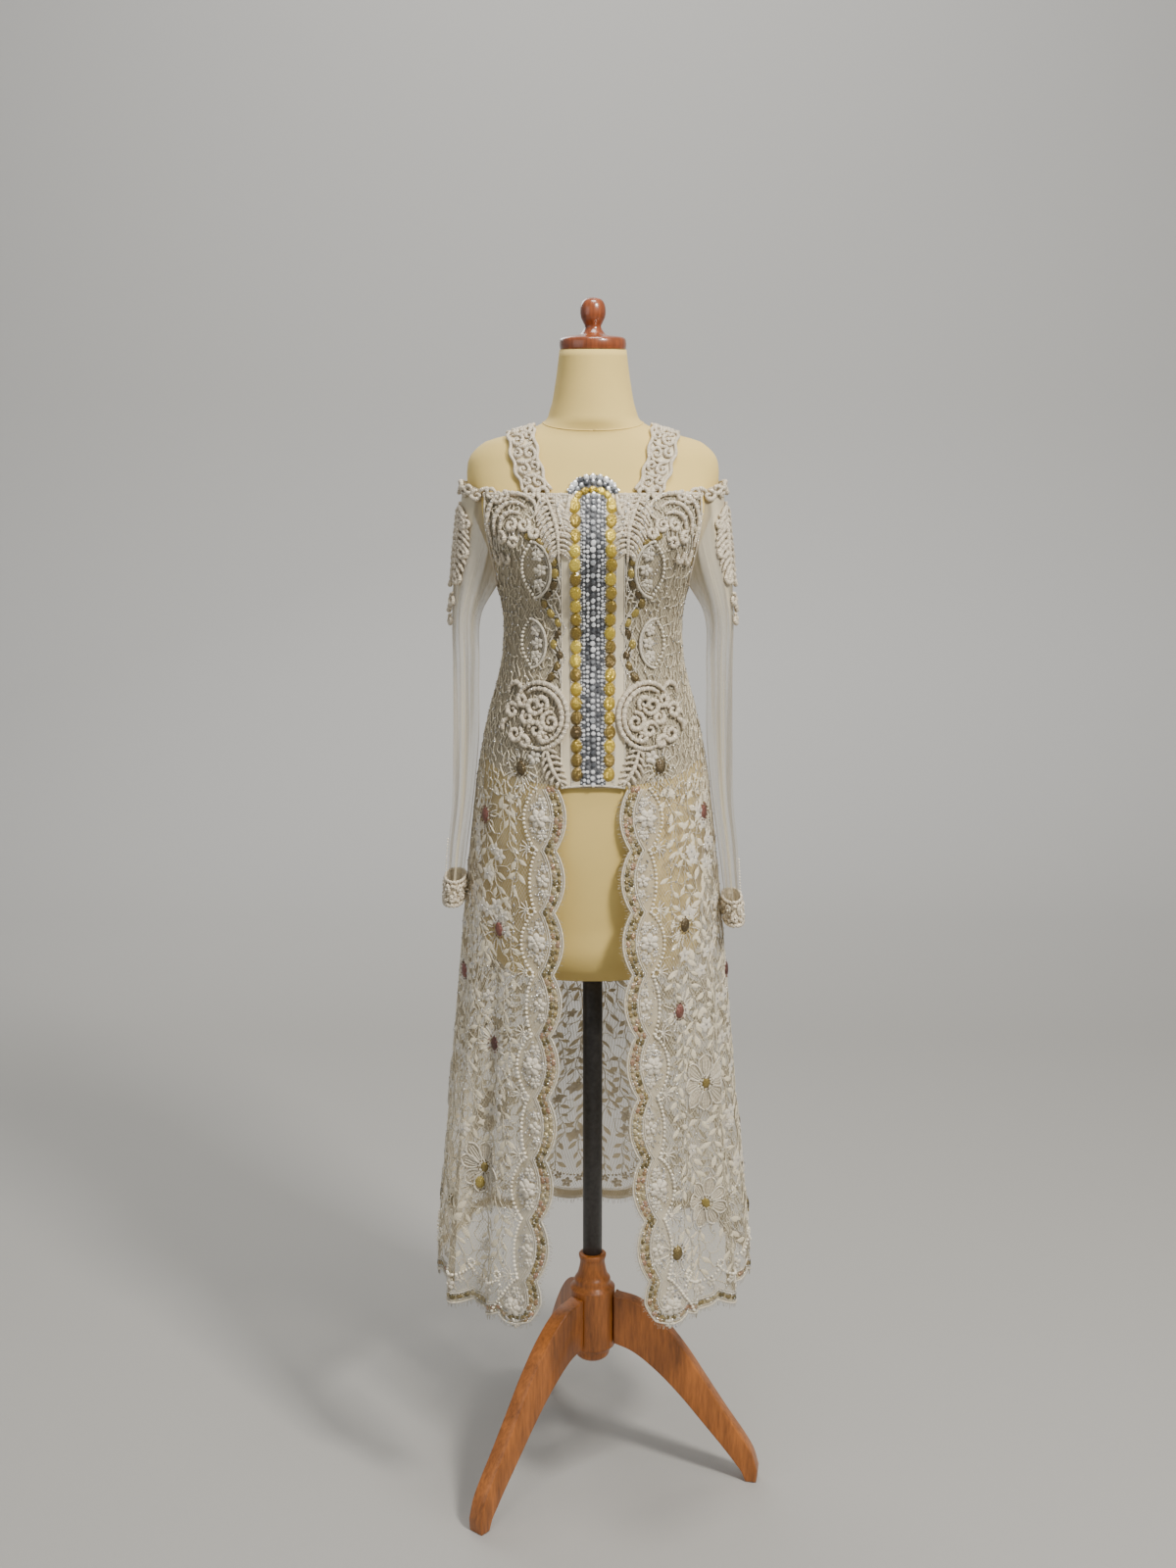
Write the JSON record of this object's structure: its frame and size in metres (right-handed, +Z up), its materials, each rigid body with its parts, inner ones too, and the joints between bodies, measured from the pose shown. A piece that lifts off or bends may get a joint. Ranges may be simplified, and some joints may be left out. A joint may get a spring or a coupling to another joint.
{
  "type": "long lace kebaya on a limbless dress form with stand",
  "caption": "Long open-front ivory lace kebaya with jewelled placket, sheer long sleeves and scalloped tails, on a limbless jersey dress form with turned cap and tripod.",
  "frame": {"origin": "on the floor, under the middle of the part's box", "axes": "+Z up along the stand's pole, the garment's front faces -Y, +X to the right as seen from the front"},
  "size_m": [0.4728, 0.4617, 1.6925],
  "materials": {
    "jersey": "fine cream cotton jersey, matte",
    "cap_wood": "red-brown lacquer, glossy",
    "leg_wood": "orange-brown varnish, satin",
    "pole": "dark paint, satin",
    "lining": "ivory satin lining, low sheen",
    "lace": "ivory corded lace on net, matte with a slight sheen",
    "tulle": "sheer ivory tulle, slight sheen",
    "trim": "thick ivory guipure cord, matte, with pearls",
    "stones": "gold oval stones and clear rhinestones sewn on cloth, glossy"
  },
  "bodies": {
    "root": {"form_torso": "jersey", "neck_cap": "cap_wood", "stand_pole": "pole", "stand_hub": "leg_wood", "stand_leg_front_right": "leg_wood", "stand_leg_front_left": "leg_wood", "stand_leg_back": "leg_wood", "lining_front": "lining", "lining_back": "lining", "front_left": "lace", "front_right": "lace", "back_left": "lace", "back_right": "lace", "hem_front_left": "trim", "hem_front_right": "trim", "hem_back_left": "trim", "hem_back_right": "trim", "border_left": "trim", "border_right": "trim", "sleeve_left": "tulle", "sleeve_right": "tulle", "cuff_left": "trim", "cuff_right": "trim", "strap_left": "trim", "strap_right": "trim", "arm_scroll_left": "trim", "arm_scroll_right": "trim", "bust_scroll_left": "trim", "bust_scroll_right": "trim", "waist_scroll_left": "trim", "waist_scroll_right": "trim", "placket": "stones", "placket_fan": "stones"}
  },
  "joints": []
}
